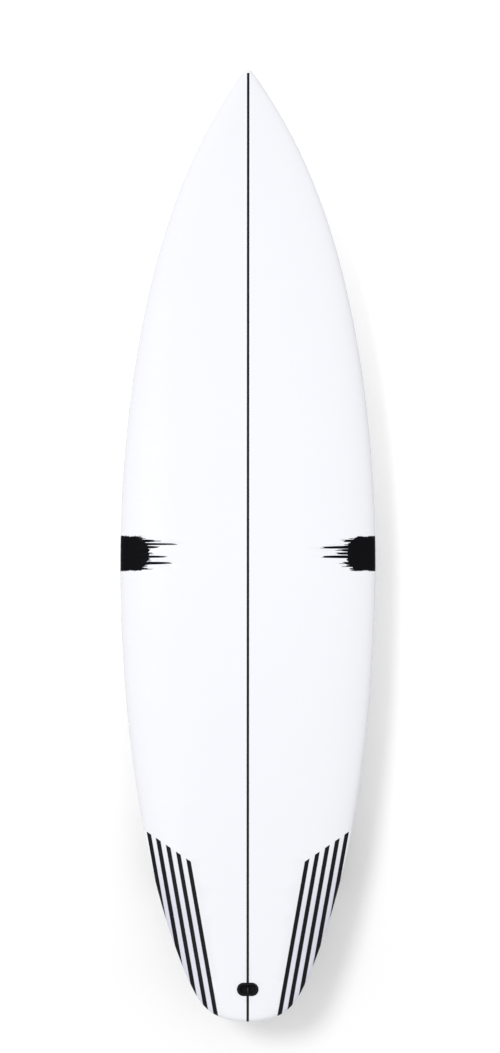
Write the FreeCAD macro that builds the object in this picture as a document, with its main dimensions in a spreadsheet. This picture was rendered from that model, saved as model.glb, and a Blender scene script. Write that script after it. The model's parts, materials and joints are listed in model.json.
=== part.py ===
import FreeCAD, Part
import math
import os
from types import SimpleNamespace

import Sketcher
from FreeCAD import Placement, Rotation, Vector

# A six-foot three-fin shortboard: a foam blank in two halves on a wooden stringer, a glass skin
# with carbon tail strips, a leash plug, and three fins that grub screws hold in their boxes.
# X runs across the board, +Y towards the nose and +Z up out of the deck. The origin is in the
# middle of the outline, level with the lowest fin tip.

# Each row is a driving size: alias, value in mm (degrees or a bare share where it says so), note.
SIZES = [
    ("board_length", 1828.8, "nose tip to tail end, six feet"),
    ("board_width", 492.0, "widest point"),
    ("board_thickness", 62.0, "thickest point of the centre line"),
    ("wide_point_back", 32.0, "how far the widest point lies behind the middle"),
    ("mark_distance", 304.8, "where nose and tail are measured, a foot from each end"),
    ("nose_width", 316.0, "at the nose mark"),
    ("nose_fullness", 5.5, "share: how late the outline turns in to the nose"),
    ("nose_tip_radius", 4.0, "rounding of the nose tip in plan"),
    ("tail_width", 374.0, "at the tail mark"),
    ("tail_fullness", 5.3, "share: how late the outline turns in to the tail"),
    ("tail_block_width", 150.0, "where the outline's sides would meet the tail end"),
    ("tail_squareness", 56.0, "share: how square the tail's corners are"),
    ("nose_mark_thickness", 35.0, "at the nose mark"),
    ("nose_tip_thickness", 14.0, "edge of the nose tip"),
    ("tail_mark_thickness", 40.0, "at the tail mark"),
    ("tail_tip_thickness", 17.0, "edge of the tail"),
    ("nose_rocker", 127.0, "lift of the bottom at the nose tip"),
    ("nose_mark_rocker", 57.0, "lift of the bottom at the nose mark"),
    ("tail_rocker", 60.0, "lift of the bottom at the tail end"),
    ("tail_mark_rocker", 22.0, "lift of the bottom at the tail mark"),
    ("flat_spot_back", 60.0, "how far the lowest point of the bottom lies behind the middle"),
    ("deck_crown", 2.4, "share: 2 is a round deck, more is a flatter one"),
    ("middle_rail_share", 0.38, "share of the thickness below the rail's edge, at the middle"),
    ("nose_rail_share", 0.42, "the same at the nose"),
    ("tail_rail_share", 0.25, "the same at the tail"),
    ("bottom_concave", 4.0, "depth of the hollow along the bottom"),
    ("deck_glass", 1.0, "laminate and resin on the deck"),
    ("bottom_glass", 0.8, "laminate and resin on the bottom"),
    ("bond_gap", 0.3, "resin line between the laminates and the foam"),
    ("lap_width", 45.0, "how far the deck laminate wraps in under the rail"),
    ("stringer_width", 4.0, "across the board"),
    ("strip_width", 7.0, "carbon strip"),
    ("strip_pitch", 17.1, "from strip to strip, over the deck"),
    ("strip_count", 5, "number of strips on each side"),
    ("strip_rise", 2.0, "how far above the rail's edge the strips run off"),
    ("strip_toe", 10.1, "degrees that the strips close in towards the tail"),
    ("strip_start_inset", 114.4, "from the centre line to the innermost strip's front end"),
    ("strip_start_back", 311.0, "from the tail end to the same front end"),
    ("strip_cut_angle", 33.9, "degrees from square of the line that the front ends lie on"),
    ("plug_back", 62.4, "from the tail end to the leash plug's middle"),
    ("plug_length", 41.6, "leash plug flange, across the board"),
    ("plug_width", 25.8, "leash plug flange, along the board"),
    ("plug_flange", 2.6, "thickness of the flange"),
    ("plug_proud", 0.7, "how far the flange stands above the deck"),
    ("plug_lip", 2.5, "width of the flange around the cup"),
    ("plug_wall", 2.6, "wall of the cup"),
    ("plug_depth", 15.0, "flange top to the cup's underside"),
    ("plug_floor", 2.4, "bottom of the cup"),
    ("pin_diameter", 4.0, "steel bar that the leash string goes round"),
    ("pin_seat", 1.6, "how far each end of the bar sits in the cup's wall"),
    ("pin_depth", 5.0, "flange top to the bar's axis"),
    ("pin_clearance", 0.03, "between the bar and its seats"),
    ("bed_gap", 0.12, "resin bed round the leash plug and the fin boxes"),
    ("box_length", 118.0, "fin box flange"),
    ("box_width", 26.0, "fin box flange"),
    ("box_flange", 3.5, "thickness of the fin box flange"),
    ("box_lip", 2.0, "width of the flange around the box"),
    ("box_depth", 17.5, "bottom of the board to the far end of the box"),
    ("tab_length", 38.0, "fin tab, along the fin"),
    ("tab_thickness", 6.2, "fin tab"),
    ("tab_depth", 14.0, "fin tab, below the bottom of the board"),
    ("tab_spacing", 62.0, "between the middles of a fin's two tabs"),
    ("tab_clearance", 0.15, "between a tab and its well, on each side"),
    ("well_spare", 0.6, "between a tab's end and the well's floor"),
    ("screw_diameter", 4.0, "grub screw"),
    ("screw_length", 6.0, "grub screw"),
    ("screw_socket", 2.0, "across the flats of the grub screw's hexagon"),
    ("screw_socket_depth", 2.2, "depth of the grub screw's hexagon"),
    ("screw_chamfer", 0.4, "on both ends of a grub screw"),
    ("screw_clearance", 0.1, "between a grub screw and its hole"),
    ("screw_tilt", 30.0, "degrees between a grub screw and the fin's tabs"),
    ("screw_tip_depth", 7.0, "bottom of the board to a grub screw's tip"),
    ("screw_tip_gap", 0.3, "between a grub screw's tip and the tab"),
    ("fin_base", 111.0, "length of a fin along the board"),
    ("fin_depth", 115.0, "from the bottom of the board to the fin's tip"),
    ("fin_sweep", 31.0, "degrees that a fin leans back"),
    ("fin_taper", 0.5, "share of its length that a fin loses towards the tip"),
    ("fin_tip_fullness", 5.0, "share: how late the fin's tip rounds off"),
    ("fin_thickness", 6.4, "thickest point at the base"),
    ("fin_edge", 1.0, "half the thickness that the thin edges keep"),
    ("fin_base_gap", 0.7, "between a fin and the bottom of the board"),
    ("side_fin_back", 280.0, "from the tail end to a side fin's rear corner"),
    ("side_fin_inset", 32.0, "from the rail to a side fin's rear corner"),
    ("side_fin_toe", 1.6, "degrees that a side fin turns in towards the nose"),
    ("side_fin_cant", 6.5, "degrees that a side fin leans out"),
    ("centre_fin_back", 89.0, "from the tail end to the centre fin's rear corner"),
]

TIP_REACH = math.radians(25)  # the part of the along angle, at each tip, with fine steps
TIP_STEPS = 10  # fine steps at each tip
MIDDLE_STEPS = 24  # steps between the fine ones
DECK_STEPS = 10  # steps from the centre line of the deck to the rail
LAP_STEPS = 4  # steps from the rail to the edge of the deck laminate
BOTTOM_STEPS = 6  # steps from there to the centre line of the bottom
SPARE = 3  # samples past each side of a surface, trimmed off again
GLASS, INSIDE, FOAM = 0, 1, 2  # depths: the outer face, the laminates' inner face, the foam
NOSE_ROUNDING = 2.5  # how much later than the outline's bend the nose tip's rounding starts
BLADE_ROWS = 12  # steps from a fin's base to its tip
BLADE_COLUMNS = 10  # steps from a fin's front edge to its rear edge
FOIL_PEAK = 0.4 * 0.6 ** 1.5  # the foil formula's value at its thickest, two fifths back
STRIP_TOLERANCE = 0.01  # how closely places on the strips are found
SLOPE_SPAN = 1.0  # length of rail whose slope is taken
TRIM_STAND = 4.0  # how far rough shapes stand out of the board before they are trimmed
SIDES = {"left": -1, "right": 1}

START, END, CENTRE = 1, 2, 3  # names for a sketch edge's points
ORIGIN, X_AXIS = -1, -1  # a sketch's own origin and horizontal axis


# ---------------------------------------------------------------- document and spreadsheet

def make_sheet(doc):
    """The spreadsheet of driving sizes."""
    sheet = doc.addObject("Spreadsheet::Sheet", "sizes")
    for row, (alias, value, note) in enumerate(SIZES, start=1):
        sheet.set(f"A{row}", alias)
        sheet.set(f"B{row}", str(value))
        sheet.set(f"C{row}", note)
        sheet.setAlias(f"B{row}", alias)
    doc.recompute()
    return sheet


def read_sizes(sheet):
    """The sheet's values as attributes, for what code works out."""
    return SimpleNamespace(**{alias: float(sheet.get(alias)) for alias, _, _ in SIZES})


def feature(name, shape):
    """A document object that holds a shape made by code."""
    made = doc.addObject("Part::Feature", name)
    made.Shape = shape
    return made


def boolean(kind, name, base, tool):
    """Part::Cut or Part::Common of two objects."""
    made = doc.addObject(kind, name)
    made.Base = base
    made.Tool = tool
    return made


def group(kind, name, members):
    """Part::Compound or Part::MultiFuse of several objects."""
    made = doc.addObject(kind, name)
    setattr(made, "Links" if kind == "Part::Compound" else "Shapes", members)
    return made


# ---------------------------------------------------------------- smooth surfaces

def steps(*stretches):
    """Even steps over stretches that follow each other, each (from, to, number of steps)."""
    values = [stretches[0][0]]
    for first, last, count in stretches:
        values += [first + (last - first) * step / count for step in range(1, count + 1)]
    return values


def padded(stations):
    """The stations, and a few more mirrored past each end."""
    first, last = stations[0], stations[-1]
    before = [2 * first - value for value in stations[SPARE:0:-1]]
    after = [2 * last - value for value in stations[-2:-2 - SPARE:-1]]
    return before + stations + after


def smooth_surface(point_at, rows, columns):
    """A surface through point_at(row, column), which also reaches past the last of each."""
    surface = Part.BSplineSurface()
    surface.interpolate([[point_at(row, column) for column in padded(columns)]
                         for row in padded(rows)])
    return surface


def patch(surface, first, last):
    """The part of a smooth surface between two of its columns, without the spare rows."""
    rows, columns = surface.getUKnots(), surface.getVKnots()
    piece = surface.copy()
    piece.segment(rows[SPARE], rows[-SPARE - 1], columns[SPARE + first], columns[SPARE + last])
    return piece


def fix_poles(surface, rows, columns, **place):
    """Sets coordinates of some poles exactly, where the surface misses a plane by a hair."""
    for row in rows:
        for column in columns:
            pole = surface.getPole(row, column)
            for axis, value in place.items():
                setattr(pole, axis, value)
            surface.setPole(row, column, pole)


def all_rows(surface):
    """The numbers of a surface's rows of poles."""
    return range(1, surface.NbUPoles + 1)


def all_columns(surface):
    """The numbers of a surface's columns of poles."""
    return range(1, surface.NbVPoles + 1)


def side_edge(surface, last):
    """The edge along a surface's first or last column."""
    bounds = surface.bounds()
    return surface.vIso(bounds[3] if last else bounds[2]).toShape()


def closed_solid(faces):
    """One solid from faces that meet edge to edge."""
    sheet = Part.makeCompound(faces)
    sheet.sewShape()
    solid = Part.makeSolid(sheet.Shells[0])
    if solid.Volume < 0:
        solid.reverse()
    return solid


def mirrored(shape):
    """The same shape on the other side of the stringer."""
    return shape.mirror(Vector(0, 0, 0), Vector(1, 0, 0))


# ---------------------------------------------------------------- the board's form

class Board:
    """Outline, rocker, foil and rails, at a height above the fin tips.

    A place on the glassed surface is two angles: along, from 0 at the tail tip to pi at the
    nose tip, and across, from 0 at the deck's centre line over the rail at pi/2 to pi at the
    bottom's. Each half is measured from the stringer's face, so the halves meet it squarely.
    """

    def __init__(self, size, lift):
        self.size = size
        self.lift = lift
        self.half_length = size.board_length / 2
        self.face = size.stringer_width / 2
        self.wide_y = -size.wide_point_back
        self.half_widest = size.board_width / 2 - self.face
        lap_share = 1 - size.lap_width / self.half_widest
        lap = math.pi - math.asin(lap_share)
        self.rows = steps((0, TIP_REACH, TIP_STEPS),
                          (TIP_REACH, math.pi - TIP_REACH, MIDDLE_STEPS),
                          (math.pi - TIP_REACH, math.pi, TIP_STEPS))
        self.columns = steps((0, math.pi / 2, DECK_STEPS), (math.pi / 2, lap, LAP_STEPS),
                             (lap, math.pi, BOTTOM_STEPS))
        self.fit_outline()
        self.surfaces = {}

    def fit_outline(self):
        """The outline formula's shares, from the widths at the two marks and at the tail."""
        size = self.size
        narrowing = lambda width: 1 - (width / 2 - self.face) / self.half_widest
        mark = self.reach(self.half_length - size.mark_distance)
        bend = mark ** size.nose_fullness
        self.nose_share = (narrowing(size.nose_width) - bend) / (mark ** 2 - bend)
        mark = self.reach(size.mark_distance - self.half_length)
        bend = mark ** size.tail_fullness
        block = narrowing(size.tail_block_width)
        corner = math.sqrt(1 - mark ** size.tail_squareness)
        tail = 1 - (1 - narrowing(size.tail_width)) / corner
        self.tail_bend_share = (tail - block * mark ** 2) / (bend - mark ** 2)
        self.tail_share = block - self.tail_bend_share

    def reach(self, y):
        """How far y lies from the wide point towards its end, from 0 to 1."""
        if y >= self.wide_y:
            return (y - self.wide_y) / (self.half_length - self.wide_y)
        return (self.wide_y - y) / (self.half_length + self.wide_y)

    def half_width(self, y):
        """From the stringer's face to the rail."""
        size, reach = self.size, self.reach(y)
        if y >= self.wide_y:
            bend = (1 - self.nose_share) * reach ** size.nose_fullness
            plain = self.half_widest * (1 - self.nose_share * reach ** 2 - bend)
            tip = 2 * size.nose_tip_radius * max(self.half_length - y, 0)
            return math.sqrt(plain ** 2 + tip * reach ** (NOSE_ROUNDING * size.nose_fullness))
        bend = self.tail_bend_share * reach ** size.tail_fullness
        plain = self.half_widest * (1 - self.tail_share * reach ** 2 - bend)
        return plain * math.sqrt(max(1 - reach ** size.tail_squareness, 0))

    def rocker(self, y):
        """Lift of the bottom's centre line."""
        size = self.size
        flat_y = -size.flat_spot_back
        nose = y >= flat_y
        span = self.half_length - flat_y if nose else self.half_length + flat_y
        tip = size.nose_rocker if nose else size.tail_rocker
        at_mark = size.nose_mark_rocker if nose else size.tail_mark_rocker
        power = math.log(at_mark / tip) / math.log(1 - size.mark_distance / span)
        return tip * (abs(y - flat_y) / span) ** power

    def thickness(self, y):
        """Thickness on the centre line, before the tips are rounded."""
        size = self.size
        tip = size.nose_tip_thickness if y > 0 else size.tail_tip_thickness
        at_mark = size.nose_mark_thickness if y > 0 else size.tail_mark_thickness
        mark = 1 - size.mark_distance / self.half_length
        power = math.log((at_mark - tip) / (size.board_thickness - tip)) / math.log(1 - mark ** 2)
        inward = max(1 - (y / self.half_length) ** 2, 0)
        return tip + (size.board_thickness - tip) * inward ** power

    def rail_height(self, y):
        """Height of the rail's edge, where the board is widest at a station."""
        return self.lift + self.rocker(y) + self.rail_share(y) * self.thickness(y)

    def tip_rounding(self, y):
        """1 along the board, falling to 0 at a tip so that its edge is a full round."""
        tip = self.size.nose_tip_thickness if y > 0 else self.size.tail_tip_thickness
        power = self.size.board_length / (tip / 2)
        return math.sqrt(max(1 - (abs(y) / self.half_length) ** power, 0))

    def rail_share(self, y):
        """Share of the thickness that lies below the rail's edge."""
        size = self.size
        tip = size.nose_rail_share if y > 0 else size.tail_rail_share
        return size.middle_rail_share + (tip - size.middle_rail_share) * (y / self.half_length) ** 2

    def point(self, along, across):
        """A point of the glassed surface of the right half."""
        size = self.size
        y = -self.half_length * math.cos(along)
        side = 1 if 0 <= along <= math.pi else -1
        share, thickness = self.rail_share(y), self.thickness(y)
        rail = self.rail_height(y)
        half = side * thickness * self.tip_rounding(y)
        out = math.sin(across)
        if math.cos(across) >= 0:
            z = rail + (1 - share) * half * math.sqrt(max(1 - abs(out) ** size.deck_crown, 0))
        else:
            # this power gives both halves of the rail one radius at the edge
            power = size.deck_crown * ((1 - share) / share) ** 2
            z = rail - share * half * math.sqrt(max(1 - abs(out) ** power, 0))
            z += size.bottom_concave * math.sin(along) ** 2 * (1 - out ** 2) ** 2
        return Vector(self.face + side * self.half_width(y) * out, y, z)

    def normal(self, along, across):
        """The outward normal of the glassed surface."""
        if min(abs(along), abs(along - math.pi)) < 1e-9:
            return Vector(0, -math.cos(along), 0)
        step = 1e-4
        forward = self.point(along + step, across) - self.point(along - step, across)
        sideways = self.point(along, across + step) - self.point(along, across - step)
        normal = sideways.cross(forward) if 0 < along < math.pi else forward.cross(sideways)
        return normal.normalize()

    def sunk_point(self, along, across, depth):
        """A point at one of the named depths below the glassed surface."""
        if depth == GLASS:
            return self.point(along, across)
        normal = self.normal(along, across)
        deck, bottom = self.size.deck_glass, self.size.bottom_glass
        sunk = bottom + (deck - bottom) * (1 + normal.z) / 2
        if depth == FOAM:
            sunk += self.size.bond_gap
        return self.point(along, across) - normal * sunk

    def surface(self, depth):
        """The right half's surface at a depth, made once."""
        if depth not in self.surfaces:
            self.surfaces[depth] = smooth_surface(
                lambda along, across: self.sunk_point(along, across, depth), self.rows, self.columns)
        return self.surfaces[depth]

    def half(self, depth, first=0, last=None):
        """The right half's surface between two columns, closed at the tips.

        Its columns on the centre lines lie exactly in the plane of the stringer's face.
        """
        end = len(self.columns) - 1
        last = end if last is None else last
        piece = patch(self.surface(depth), first, last)
        rows, columns = all_rows(piece), all_columns(piece)
        for row in (rows[0], rows[-1]):
            tip = piece.getPole(row, 1)
            fix_poles(piece, [row], columns, x=self.face, y=tip.y, z=tip.z)
        on_face = [columns[place] for place, there in ((0, first == 0), (-1, last == end)) if there]
        fix_poles(piece, rows, on_face, x=self.face)
        return piece

    def over_stringer(self, edge):
        """The narrow face that carries an edge on the stringer's face across the stringer."""
        return edge.extrude(Vector(-2 * self.face, 0, 0))

    def profile(self, depth):
        """The side view of the centre line, as a face against the right half."""
        half = self.half(depth)
        return Part.Face(Part.Wire([side_edge(half, False), side_edge(half, True)]))

    def half_solid(self, depth):
        """The right half inside a depth, flat where it meets the stringer."""
        return closed_solid([self.half(depth).toShape(), self.profile(depth)])

    def whole_solid(self, depth):
        """The whole board inside a depth."""
        half = self.half(depth)
        strips = [self.over_stringer(side_edge(half, last)) for last in (False, True)]
        return closed_solid([half.toShape(), mirrored(half.toShape())] + strips)

    def skin(self, outer, inner, first, last):
        """A skin between two depths and two columns, over both halves and the stringer."""
        from_bottom = first > 0
        faces, rims = [], []
        for depth in (outer, inner):
            half = self.half(depth, first, last)
            faces += [half.toShape(), mirrored(half.toShape()),
                      self.over_stringer(side_edge(half, from_bottom))]
            rims.append(side_edge(half, not from_bottom))
        edge = Part.makeRuledSurface(*rims)
        faces += [edge, mirrored(edge)]
        for along in (0, math.pi):
            corners = [self.sunk_point(along, 0, depth) for depth in (outer, inner)]
            other = [Vector(-corner.x, corner.y, corner.z) for corner in reversed(corners)]
            faces.append(Part.Face(Part.makePolygon(corners + other + corners[:1])))
        return closed_solid(faces)

    def ground(self, x, y, deck):
        """The point of the deck or the bottom over a place in plan, or of the rail's edge past it."""
        out = min(max(abs(x) - self.face, 0) / self.half_width(y), 1)
        across = math.asin(out) if deck else math.pi - math.asin(out)
        point = self.point(math.acos(-y / self.half_length), across)
        return Vector(x, y, point.z)

    def seat(self, x, y, deck=False, turn=0, lean=0):
        """A placement on the surface: its x forward, its z out of the board.

        turn is in degrees from straight ahead towards +X, and lean tips its z towards +X.
        """
        step = 1.0
        slope_x, slope_y = ((self.ground(x + dx, y + dy, deck) - self.ground(x - dx, y - dy, deck)).z
                            / (2 * step) for dx, dy in ((step, 0), (0, step)))
        outward = Vector(-slope_x, -slope_y, 1) * (1 if deck else -1)
        ahead_x, ahead_y = math.sin(math.radians(turn)), math.cos(math.radians(turn))
        ahead = Vector(ahead_x, ahead_y, ahead_x * slope_x + ahead_y * slope_y)
        sideways = outward.cross(ahead).normalize()
        tilt = math.radians(lean if sideways.x > 0 else -lean)
        up = outward.normalize() * math.cos(tilt) + sideways * math.sin(tilt)
        return Placement(self.ground(x, y, deck), Rotation(ahead, up.cross(ahead), up, "ZXY"))


# ---------------------------------------------------------------- sketched bodies

def new_body(name):
    """An empty PartDesign body."""
    body = doc.addObject("PartDesign::Body", name)
    body.Label = name
    return body


def new_sketch(body, role="XY_Plane", offset=None, height="0"):
    """A sketch on one of the body's planes, lifted off it by an expression."""
    sketch = body.newObject("Sketcher::SketchObject", body.Name + "_sketch")
    plane = next(item for item in body.Origin.OriginFeatures if item.Role == role)
    sketch.AttachmentSupport = [(plane, "")]
    sketch.MapMode = "FlatFace"
    if offset is not None:
        sketch.AttachmentOffset = offset
    else:
        sketch.setExpression("AttachmentOffset.Base.z", height)
    return sketch


def bind(sketch, name, constraint, expression):
    """Adds a dimension to a sketch and ties it to the spreadsheet."""
    index = sketch.addConstraint(constraint)
    sketch.renameConstraint(index, name)
    sketch.setExpression("Constraints." + name, expression)


def draw_pill(sketch, length, width):
    """A slot outline centred on the sketch's origin."""
    reach, radius, up = 20, 5, Vector(0, 0, 1)
    circles = [Part.Circle(Vector(x, 0, 0), up, radius) for x in (reach, -reach)]
    right = sketch.addGeometry(Part.ArcOfCircle(circles[0], -math.pi / 2, math.pi / 2))
    left = sketch.addGeometry(Part.ArcOfCircle(circles[1], math.pi / 2, 3 * math.pi / 2))
    corners = [Vector(x * reach, y * radius, 0) for x, y in ((1, 1), (-1, 1), (-1, -1), (1, -1))]
    top = sketch.addGeometry(Part.LineSegment(corners[0], corners[1]))
    bottom = sketch.addGeometry(Part.LineSegment(corners[2], corners[3]))
    for one, other in ((right, top), (top, left), (left, bottom), (bottom, right)):
        sketch.addConstraint(Sketcher.Constraint("Tangent", one, END, other, START))
    sketch.addConstraint(Sketcher.Constraint("Horizontal", top))
    sketch.addConstraint(Sketcher.Constraint("Horizontal", bottom))
    sketch.addConstraint(
        Sketcher.Constraint("Symmetric", right, CENTRE, left, CENTRE, ORIGIN, START))
    bind(sketch, "round", Sketcher.Constraint("Radius", right, radius), f"({width}) / 2")
    bind(sketch, "reach", Sketcher.Constraint("DistanceX", left, CENTRE, right, CENTRE, 2 * reach),
         f"({length}) - ({width})")


def draw_circle(sketch, diameter):
    """A circle about the sketch's origin."""
    radius = 2
    circle = sketch.addGeometry(Part.Circle(Vector(0, 0, 0), Vector(0, 0, 1), radius))
    sketch.addConstraint(Sketcher.Constraint("Coincident", circle, CENTRE, ORIGIN, START))
    bind(sketch, "round", Sketcher.Constraint("Radius", circle, radius), f"({diameter}) / 2")


def draw_hexagon(sketch, across_flats):
    """A regular hexagon about the sketch's origin."""
    radius = 1.2
    corners = [Vector(radius * math.cos(math.radians(60 * k)), radius * math.sin(math.radians(60 * k)))
               for k in range(6)]
    ring = sketch.addGeometry(Part.Circle(Vector(0, 0, 0), Vector(0, 0, 1), radius), True)
    sketch.addConstraint(Sketcher.Constraint("Coincident", ring, CENTRE, ORIGIN, START))
    sides = [sketch.addGeometry(Part.LineSegment(corners[k], corners[(k + 1) % 6])) for k in range(6)]
    for k, side in enumerate(sides):
        sketch.addConstraint(
            Sketcher.Constraint("Coincident", side, END, sides[(k + 1) % 6], START))
        sketch.addConstraint(Sketcher.Constraint("PointOnObject", side, START, ring))
        if k:
            sketch.addConstraint(Sketcher.Constraint("Equal", sides[0], side))
    sketch.addConstraint(Sketcher.Constraint("PointOnObject", sides[0], START, X_AXIS))
    bind(sketch, "round", Sketcher.Constraint("Radius", ring, radius),
         f"({across_flats}) / 2 / cos(30 deg)")


def pad(body, sketch, length, inward=True):
    """Pads a sketch, inward being towards the body's -Z."""
    made = body.newObject("PartDesign::Pad", body.Name + "_pad")
    made.Profile = sketch
    made.Reversed = inward
    made.setExpression("Length", length)
    return made


def pocket(body, sketch, length, both_ways=False):
    """Cuts a sketch out of the body, from the sketch towards its -Z or both ways."""
    made = body.newObject("PartDesign::Pocket", body.Name + "_pocket")
    made.Profile = sketch
    made.Midplane = both_ways
    made.setExpression("Length", length)
    return made


def sunk_pills(name, pills):
    """Pills joined into a body, each (length, width, height above the surface, depth below)."""
    body = new_body(name)
    for length, width, top, depth in pills:
        sketch = new_sketch(body, height=top)
        draw_pill(sketch, length, width)
        pad(body, sketch, f"({depth}) + ({top})")
    return body


# ---------------------------------------------------------------- leash plug

PLUG_LENGTH, PLUG_WIDTH = "sizes.plug_length", "sizes.plug_width"
PLUG_BODY = "2 * sizes.plug_lip"
PLUG_UNDER = "(sizes.plug_depth - sizes.plug_proud)"
PLUG_CAVITY = "2 * (sizes.plug_lip + sizes.plug_wall)"


def leash_plug_cup(seat):
    """The moulded cup: a pill-shaped flange on the deck, with the cavity below it."""
    body = new_body("leash_plug_cup")
    flange = new_sketch(body, height="sizes.plug_proud")
    draw_pill(flange, PLUG_LENGTH, PLUG_WIDTH)
    pad(body, flange, "sizes.plug_flange")
    cup = new_sketch(body, height="sizes.plug_proud")
    draw_pill(cup, f"{PLUG_LENGTH} - {PLUG_BODY}", f"{PLUG_WIDTH} - {PLUG_BODY}")
    pad(body, cup, "sizes.plug_depth")
    cavity = new_sketch(body, height="sizes.plug_proud")
    draw_pill(cavity, f"{PLUG_LENGTH} - {PLUG_CAVITY}", f"{PLUG_WIDTH} - {PLUG_CAVITY}")
    pocket(body, cavity, "sizes.plug_depth - sizes.plug_floor")
    seats = new_sketch(body, "XZ_Plane", offset=Placement())
    seats.setExpression("AttachmentOffset.Base.y", "sizes.plug_proud - sizes.pin_depth")
    draw_circle(seats, "sizes.pin_diameter + 2 * sizes.pin_clearance")
    pocket(body, seats, f"{PLUG_WIDTH} - {PLUG_CAVITY} + 2 * sizes.pin_seat", both_ways=True)
    body.Placement = seat
    return body


def leash_plug_pin(seat):
    """The steel bar across the cup, fore and aft."""
    pin = doc.addObject("Part::Cylinder", "leash_plug_pin")
    half_length = f"({PLUG_WIDTH} - {PLUG_CAVITY}) / 2 + sizes.pin_seat - sizes.pin_clearance"
    pin.setExpression("Radius", "sizes.pin_diameter / 2")
    pin.setExpression("Height", f"2 * ({half_length})")
    half = size.plug_width / 2 - size.plug_lip - size.plug_wall + size.pin_seat - size.pin_clearance
    middle = Vector(0, half, size.plug_proud - size.pin_depth)
    pin.Placement = seat * Placement(middle, Rotation(Vector(1, 0, 0), 90))
    return pin


def leash_plug_pocket(seat):
    """What is routed out of the board for the plug."""
    gap = "2 * sizes.bed_gap"
    body = sunk_pills("leash_plug_pocket", [
        (f"{PLUG_LENGTH} + {gap}", f"{PLUG_WIDTH} + {gap}", str(TRIM_STAND),
         "sizes.plug_flange - sizes.plug_proud + sizes.bed_gap"),
        (f"{PLUG_LENGTH} - {PLUG_BODY} + {gap}", f"{PLUG_WIDTH} - {PLUG_BODY} + {gap}",
         str(TRIM_STAND), f"{PLUG_UNDER} + sizes.bed_gap")])
    body.Placement = seat
    return body


# ---------------------------------------------------------------- fin boxes, screws and fins

BOX_BODY = "2 * sizes.box_lip"
TAB_PLACES = {"front": 1, "rear": -1}


def screw_seat(place, side, ahead=0.0):
    """Where a grub screw's tip, or a point ahead of it, lies in its box, with z out of the hole."""
    tilt = math.radians(size.screw_tilt)
    gap = size.screw_tip_gap + size.screw_diameter / 2 * math.cos(tilt)
    tip = Vector(TAB_PLACES[place] * size.tab_spacing / 2,
                 side * (size.tab_thickness / 2 + gap), -size.screw_tip_depth)
    seat = Placement(tip, Rotation(Vector(1, 0, 0), -side * size.screw_tilt))
    return seat * Placement(Vector(0, 0, -ahead), Rotation())


def fin_box(name, seat, screw_side, envelope):
    """A moulded box with two wells and two slanted screw holes, trimmed flush with the bottom."""
    body = sunk_pills(name + "_rough", [
        ("sizes.box_length", "sizes.box_width", str(TRIM_STAND), "sizes.box_flange"),
        (f"sizes.box_length - {BOX_BODY}", f"sizes.box_width - {BOX_BODY}", "0", "sizes.box_depth")])
    for place, along in TAB_PLACES.items():
        well = new_sketch(body, height=str(TRIM_STAND))
        well.setExpression("AttachmentOffset.Base.x", f"{along} * sizes.tab_spacing / 2")
        draw_pill(well, "sizes.tab_length + 2 * sizes.tab_clearance",
                  "sizes.tab_thickness + 2 * sizes.tab_clearance")
        pocket(body, well, f"{TRIM_STAND} + sizes.tab_depth + sizes.well_spare")
        bottom = screw_seat(place, screw_side, ahead=size.screw_tip_gap)
        hole = new_sketch(body, offset=bottom)
        draw_circle(hole, "sizes.screw_diameter + 2 * sizes.screw_clearance")
        way_out = f"(sizes.screw_tip_depth + {TRIM_STAND}) / cos(sizes.screw_tilt * 1 deg)"
        drilled = pocket(body, hole, f"{way_out} + sizes.screw_diameter + sizes.screw_tip_gap")
        drilled.Reversed = True
    body.Placement = seat
    return boolean("Part::Common", name, body, envelope)


def fin_box_pocket(name, seat):
    """What is routed out of the board for a fin box."""
    gap = "2 * sizes.bed_gap"
    body = sunk_pills(name, [
        (f"sizes.box_length + {gap}", f"sizes.box_width + {gap}", str(2 * TRIM_STAND),
         "sizes.box_flange + sizes.bed_gap"),
        (f"sizes.box_length - {BOX_BODY} + {gap}", f"sizes.box_width - {BOX_BODY} + {gap}", "0",
         "sizes.box_depth + sizes.bed_gap")])
    body.Placement = seat
    return body


def grub_screw(name, seat):
    """A socket set screw, its tip at the origin and its socket at the far end."""
    body = new_body(name)
    shank = new_sketch(body)
    draw_circle(shank, "sizes.screw_diameter")
    padded_shank = pad(body, shank, "sizes.screw_length", inward=False)
    doc.recompute([shank, padded_shank])
    rims = [f"Edge{index}" for index, edge in enumerate(padded_shank.Shape.Edges, start=1)
            if isinstance(edge.Curve, Part.Circle)]
    ends = body.newObject("PartDesign::Chamfer", name + "_chamfer")
    ends.Base = (padded_shank, rims)
    ends.setExpression("Size", "sizes.screw_chamfer")
    socket = new_sketch(body, height="sizes.screw_length")
    draw_hexagon(socket, "sizes.screw_socket")
    pocket(body, socket, "sizes.screw_socket_depth")
    body.Placement = seat
    return body


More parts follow.
